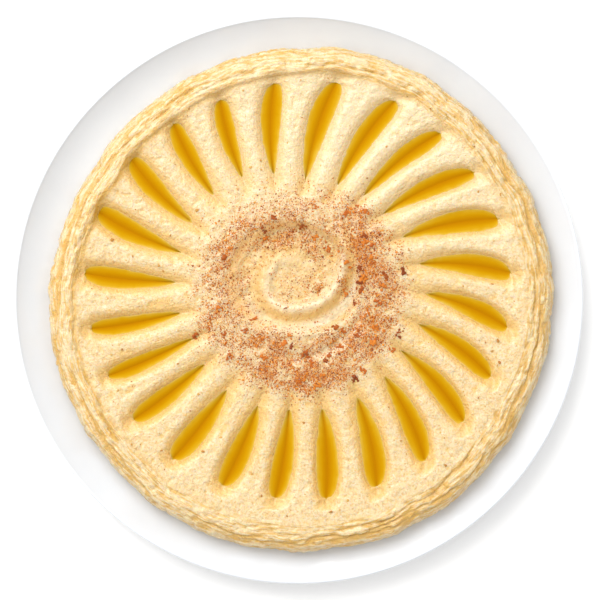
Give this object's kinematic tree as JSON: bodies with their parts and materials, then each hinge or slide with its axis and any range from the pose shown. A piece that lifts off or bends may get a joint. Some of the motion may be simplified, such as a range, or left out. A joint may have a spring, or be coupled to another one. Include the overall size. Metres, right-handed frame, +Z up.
{
  "type": "plate of hummus",
  "caption": "Hummus spread over a round white plate, with spoon strokes that fan out from a swirl, olive oil in the strokes and paprika round the middle.",
  "frame": {"origin": "on the plate's axis, at the plane that its foot ring stands on", "axes": "+Z up, out of the food; +X and +Y level, towards the right and the back of the dish as it is served"},
  "size_m": [0.27, 0.27, 0.0234],
  "materials": {
    "plate": "smooth white glaze",
    "hummus": null,
    "oil": null
  },
  "bodies": {
    "root": {"plate": "plate", "hummus": "hummus", "oil_01": "oil", "oil_02": "oil", "oil_03": "oil", "oil_04": "oil", "oil_05": "oil", "oil_06": "oil", "oil_07": "oil", "oil_08": "oil", "oil_09": "oil", "oil_10": "oil", "oil_11": "oil", "oil_12": "oil", "oil_13": "oil", "oil_14": "oil", "oil_15": "oil", "oil_16": "oil", "oil_17": "oil", "oil_18": "oil", "oil_19": "oil", "oil_20": "oil", "oil_21": "oil", "oil_22": "oil", "oil_23": "oil", "oil_24": "oil"}
  },
  "joints": []
}
